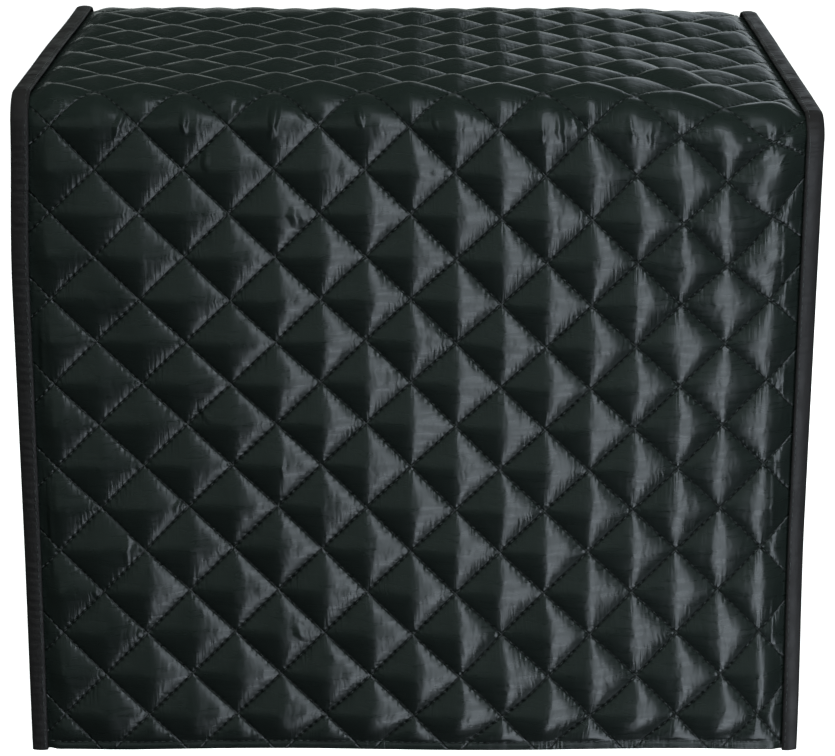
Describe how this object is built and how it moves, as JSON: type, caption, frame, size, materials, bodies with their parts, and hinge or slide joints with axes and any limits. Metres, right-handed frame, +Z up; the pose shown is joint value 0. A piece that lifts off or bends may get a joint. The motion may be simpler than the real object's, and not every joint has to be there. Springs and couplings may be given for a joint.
{
  "type": "fitted quilted appliance cover",
  "caption": "Hollow box-shaped quilted cloth cover, open at the bottom, with bound side seams and a turned hem, to drop over a worktop appliance.",
  "frame": {"origin": "middle of the open bottom, in the plane of the hem", "axes": "+Z up towards the top panel, -Y towards the front wall, +X towards the right side as seen from the front"},
  "size_m": [0.3988, 0.3261, 0.3408],
  "materials": {
    "quilted_satin": "black satin quilted over wadding, soft gloss on each puff",
    "bias_tape": "warm black woven tape, slightly puckered"
  },
  "bodies": {
    "root": {"wrap_panel": "quilted_satin", "side_panel_left": "quilted_satin", "side_panel_right": "quilted_satin", "binding_left": "bias_tape", "binding_right": "bias_tape"}
  },
  "joints": []
}
